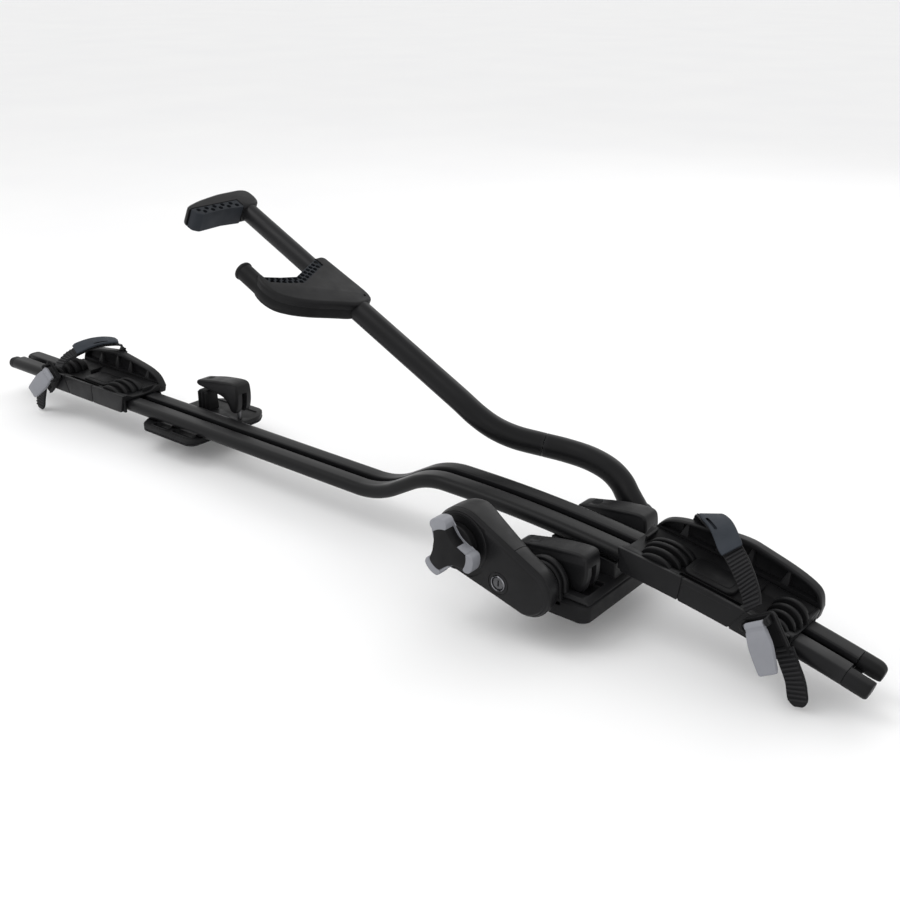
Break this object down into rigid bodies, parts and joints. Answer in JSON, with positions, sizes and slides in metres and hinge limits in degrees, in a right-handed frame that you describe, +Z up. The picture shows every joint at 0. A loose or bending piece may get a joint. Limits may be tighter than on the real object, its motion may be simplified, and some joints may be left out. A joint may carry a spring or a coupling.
{
  "type": "upright bicycle carrier for roof bars",
  "caption": "Upright bicycle carrier for roof bars: slotted rail with an S-bend, pivoting frame arm with clamping jaws, torque knob, wheel holders with ratchet straps.",
  "frame": {"origin": "centre of the front foot's flat underside, on the rail's centreline", "axes": "+X along the rail towards the car's front, +Y across the car to the side opposite the torque knob, +Z up"},
  "size_m": [1.4502, 0.2737, 0.3791],
  "materials": {
    "plastic": "fine moulded grain",
    "cover": "satin moulded",
    "metal": "black powder coat on aluminium",
    "steel": "dark zinc",
    "pad": "matt slate-grey elastomer",
    "rubber": "matt",
    "strap": "ribbed flexible strap",
    "grey": "light-grey moulded grip"
  },
  "bodies": {
    "carrier": {"rail": "metal", "rail_front_cap": "plastic", "rail_rear_cap": "plastic", "foot_tray": "plastic", "foot_cover": "cover", "foot_pad": "rubber", "front_near_lever_pin": "steel", "front_near_lever_bolt": "steel", "front_far_lever_pin": "steel", "front_far_lever_bolt": "steel", "front_tray": "plastic", "front_side_cover": "cover", "front_hoop": "cover", "front_strap": "strap", "front_rim_pad": "pad", "front_buckle_frame": "plastic", "front_buckle_pin": "steel", "front_strap_tail": "strap"},
    "near_cam_lever": {"front_near_lever": "cover"},
    "far_cam_lever": {"front_far_lever": "cover"},
    "arm": {"arm_link": "metal", "arm_tube": "metal", "pivot_shaft": "steel", "claw_body": "plastic", "claw_cover": "cover", "claw_pad": "pad", "housing_shell": "cover", "housing_face": "cover", "lock_bezel": "steel"},
    "sliding_jaw": {"inner_tube": "metal", "upper_jaw": "cover", "upper_jaw_pad": "pad"},
    "torque_knob": {"knob_core": "plastic", "knob_lobe_1": "grey", "knob_lobe_2": "grey", "knob_lobe_3": "grey", "knob_spindle": "steel"},
    "lock_barrel": {"lock_cylinder": "steel"},
    "rear_foot": {"rear_foot_plate": "plastic", "rear_foot_pad": "rubber", "rear_rest_post": "plastic", "rear_rail_bracket": "plastic", "rear_lever_pin": "steel", "rear_lever_bolt": "steel"},
    "rear_cam_lever": {"rear_lever": "cover"},
    "rear_wheel_holder": {"rear_tray": "plastic", "rear_side_cover": "cover", "rear_hoop": "cover", "rear_strap": "strap", "rear_rim_pad": "pad", "rear_buckle_frame": "plastic", "rear_buckle_pin": "steel", "rear_strap_tail": "strap"},
    "front_ratchet_lever": {"front_buckle_lever": "grey"},
    "rear_ratchet_lever": {"rear_buckle_lever": "grey"}
  },
  "joints": [
    {"name": "arm_pivot", "type": "hinge", "parent": "carrier", "child": "arm", "pos_m": [-0.01, 0, 0.033], "axis": [0, 1, 0], "range_deg": [-20, 60]},
    {"name": "jaw_slide", "type": "slide", "parent": "arm", "child": "sliding_jaw", "axis": [-0.8944, 0, 0.4473], "range_m": [-0.08, 0.0018]},
    {"name": "knob_turn", "type": "hinge", "parent": "arm", "child": "torque_knob", "pos_m": [-0.094, -0.124, 0.065], "axis": [0, -1, 0], "range_deg": [-45, 1910]},
    {"name": "lock_turn", "type": "hinge", "parent": "arm", "child": "lock_barrel", "pos_m": [-0.043, -0.124, 0.033], "axis": [0, -1, 0], "range_deg": [0, 90]},
    {"name": "near_lever_hinge", "type": "hinge", "parent": "carrier", "child": "near_cam_lever", "pos_m": [0.02, -0.06, 0.048], "axis": [0, 1, 0], "range_deg": [0, 95]},
    {"name": "far_lever_hinge", "type": "hinge", "parent": "carrier", "child": "far_cam_lever", "pos_m": [0.02, 0.06, 0.048], "axis": [0, 1, 0], "range_deg": [0, 95]},
    {"name": "rear_foot_slide", "type": "slide", "parent": "carrier", "child": "rear_foot", "axis": [1, 0, 0], "range_m": [-0.03, 0.05]},
    {"name": "rear_lever_hinge", "type": "hinge", "parent": "rear_foot", "child": "rear_cam_lever", "pos_m": [-0.657, 0.06, 0.047], "axis": [0, 1, 0], "range_deg": [0, 95]},
    {"name": "rear_holder_slide", "type": "slide", "parent": "carrier", "child": "rear_wheel_holder", "axis": [1, 0, 0], "range_m": [-0.08, 0.015]},
    {"name": "front_buckle_hinge", "type": "hinge", "parent": "carrier", "child": "front_ratchet_lever", "pos_m": [0.2116, -0.0525, 0.04829], "axis": [-0.8483, 0, -0.5295], "range_deg": [0, 75]},
    {"name": "rear_buckle_hinge", "type": "hinge", "parent": "rear_wheel_holder", "child": "rear_ratchet_lever", "pos_m": [-0.967, -0.0525, 0.041], "axis": [-0.724, 0, 0.6898], "range_deg": [0, 75]}
  ],
  "couplings": [
    {"joint": "knob_turn", "follows": "jaw_slide", "rad_per_m": -416.67}
  ]
}
